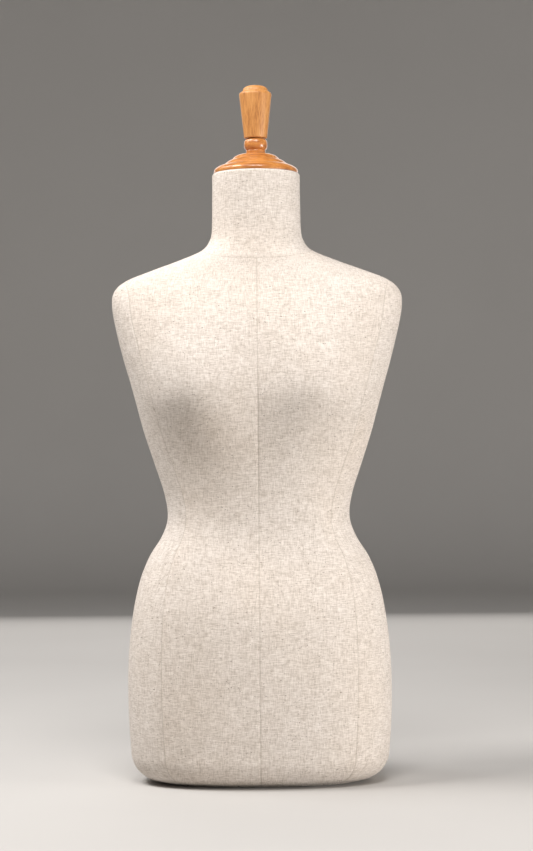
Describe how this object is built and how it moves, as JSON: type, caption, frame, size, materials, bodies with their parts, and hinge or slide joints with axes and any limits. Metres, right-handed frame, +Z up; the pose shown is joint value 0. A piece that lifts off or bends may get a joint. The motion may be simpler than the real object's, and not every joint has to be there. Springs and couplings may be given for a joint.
{
  "type": "dress form",
  "caption": "Linen-covered female dress form torso with a tall neck, a turned wooden neck cap and unscrewing finial, and a recessed pole socket in its flat base.",
  "frame": {"origin": "on the resting plane, on the axis of the pole socket, which is also the centre of the footprint's bounding box", "axes": "+Z up through the neck and finial; the front of the form faces -Y; the form's left side is +X"},
  "size_m": [0.376, 0.2474, 0.9018],
  "materials": {
    "linen": "natural slubbed linen weave, matte",
    "covered_card": "linen-covered millboard, matte",
    "papier_mache": "layered papier-mache, matte",
    "kraft_paper": "glued kraft paper tape, matte",
    "plywood": "bare birch plywood",
    "oiled_wood": "straight-grained turned wood, satin oil",
    "varnished_wood": "turned wood, glossy honey varnish",
    "steel": "zinc-plated, satin",
    "brass": "plain brass"
  },
  "bodies": {
    "torso": {"shell_front": "papier_mache", "shell_back": "papier_mache", "joint_strip_left": "kraft_paper", "joint_strip_right": "kraft_paper", "front_panel_left": "linen", "front_panel_right": "linen", "side_panel_left": "linen", "side_panel_right": "linen", "back_panel_left": "linen", "back_panel_right": "linen", "neck_cover": "linen", "neck_block": "plywood", "stud_insert": "brass", "neck_staples": "steel", "base_board": "plywood", "pole_socket": "steel", "socket_screws": "steel", "hem_staples": "steel", "base_cover": "covered_card", "cover_tacks": "brass"},
    "cap": {"neck_cap": "varnished_wood"},
    "finial": {"finial_bead": "varnished_wood", "finial_grip": "oiled_wood", "finial_stud": "steel"}
  },
  "joints": [
    {"name": "finial_rise", "type": "slide", "parent": "torso", "child": "cap", "axis": [0, 0, 1], "range_m": [0, 0.015]},
    {"name": "finial_turn", "type": "hinge", "parent": "cap", "child": "finial", "pos_m": [0, 0, 0.8125], "axis": [0, 0, 1], "range_deg": [0, 4320]}
  ],
  "couplings": [
    {"joint": "finial_rise", "follows": "finial_turn", "m_per_rad": 0.00019894}
  ]
}
